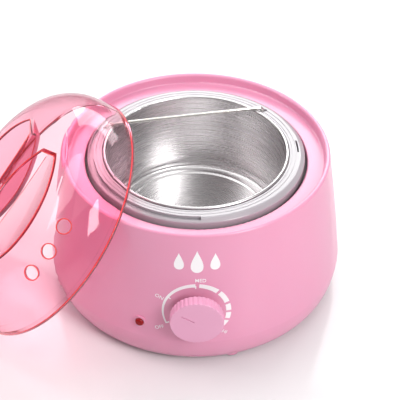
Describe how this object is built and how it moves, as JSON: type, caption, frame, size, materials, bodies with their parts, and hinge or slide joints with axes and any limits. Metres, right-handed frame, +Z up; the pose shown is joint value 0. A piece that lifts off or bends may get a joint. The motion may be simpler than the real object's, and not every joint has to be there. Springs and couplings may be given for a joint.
{
  "type": "wax warmer pot",
  "caption": "Round electric wax warmer with a lift-out metal pot, front heat knob, indicator lamp and a clear domed lid leaning on its side.",
  "frame": {"origin": "on the housing axis at the underside of the base cover, 2 mm above the table that the rubber feet stand on", "axes": "+Z up along the housing and pot axis, -Y towards the control knob, -X towards the leaning lid"},
  "size_m": [0.2358, 0.1823, 0.1214],
  "materials": {
    "pink_plastic": "gloss, lightly textured",
    "clear_pink": "transparent, polished",
    "milky_plastic": "translucent, satin",
    "brushed_pot": "circular brushed",
    "bright_wire": "bright drawn",
    "well_aluminium": "dark anodised",
    "mica_band": "satin",
    "glass_fibre": "woven sleeve",
    "zinc_screw": "zinc plated",
    "brass_part": "satin",
    "white_ceramic": "plain",
    "grey_rubber": "matt",
    "red_lens": "gloss",
    "neon_glass": "clear",
    "white_nylon": "matt",
    "lead_sheath": "silicone sheath"
  },
  "bodies": {
    "warmer": {"band_bolt": "zinc_screw", "band_nut": "zinc_screw", "base_cover": "pink_plastic", "base_screw_1": "zinc_screw", "base_screw_2": "zinc_screw", "base_screw_3": "zinc_screw", "base_screw_4": "zinc_screw", "bracket_screw_left": "zinc_screw", "bracket_screw_right": "zinc_screw", "clamp_screw_left": "zinc_screw", "clamp_screw_right": "zinc_screw", "cord_clamp": "white_nylon", "cord_gland": "grey_rubber", "fuse_clip": "zinc_screw", "heater_band": "mica_band", "heater_well": "well_aluminium", "housing_shell": "pink_plastic", "indicator_lens": "red_lens", "insulation_sleeve": "glass_fibre", "lamp_bulb": "neon_glass", "lamp_holder": "white_nylon", "lead_fuse": "lead_sheath", "lead_heater": "lead_sheath", "lead_lamp": "lead_sheath", "lead_thermostat": "lead_sheath", "rubber_foot_1": "grey_rubber", "rubber_foot_2": "grey_rubber", "rubber_foot_3": "grey_rubber", "rubber_foot_4": "grey_rubber", "terminal_block": "white_nylon", "thermal_fuse": "white_ceramic", "thermostat_body": "white_ceramic", "thermostat_bracket": "zinc_screw", "thermostat_nut": "brass_part", "well_screw_1": "zinc_screw", "well_screw_2": "zinc_screw", "well_screw_3": "zinc_screw", "well_screw_4": "zinc_screw"},
    "knob": {"control_knob": "pink_plastic", "thermostat_shaft": "brass_part", "knob_spring_clip": "zinc_screw"},
    "pot": {"inner_pot": "brushed_pot", "pot_collar": "milky_plastic"},
    "wire": {"scraper_wire": "bright_wire"},
    "lid": {"lid": "clear_pink"}
  },
  "joints": [
    {"name": "knob_turn", "type": "hinge", "parent": "warmer", "child": "knob", "pos_m": [0, -0.0873, 0.0393], "axis": [0, -1, 0], "range_deg": [-182, 58]},
    {"name": "lid_lift", "type": "slide", "parent": "warmer", "child": "lid", "axis": [-0.7278, -0.1614, 0.6665], "range_m": [0, 0.13]},
    {"name": "pot_lift", "type": "slide", "parent": "warmer", "child": "pot", "axis": [0, 0, 1], "range_m": [0, 0.0975]},
    {"name": "wire_lift", "type": "slide", "parent": "pot", "child": "wire", "axis": [0, 0, 1], "range_m": [0, 0.008]}
  ],
  "couplings": [
    {"joint": "pot_lift", "follows": "lid_lift", "ratio": 0.75}
  ]
}
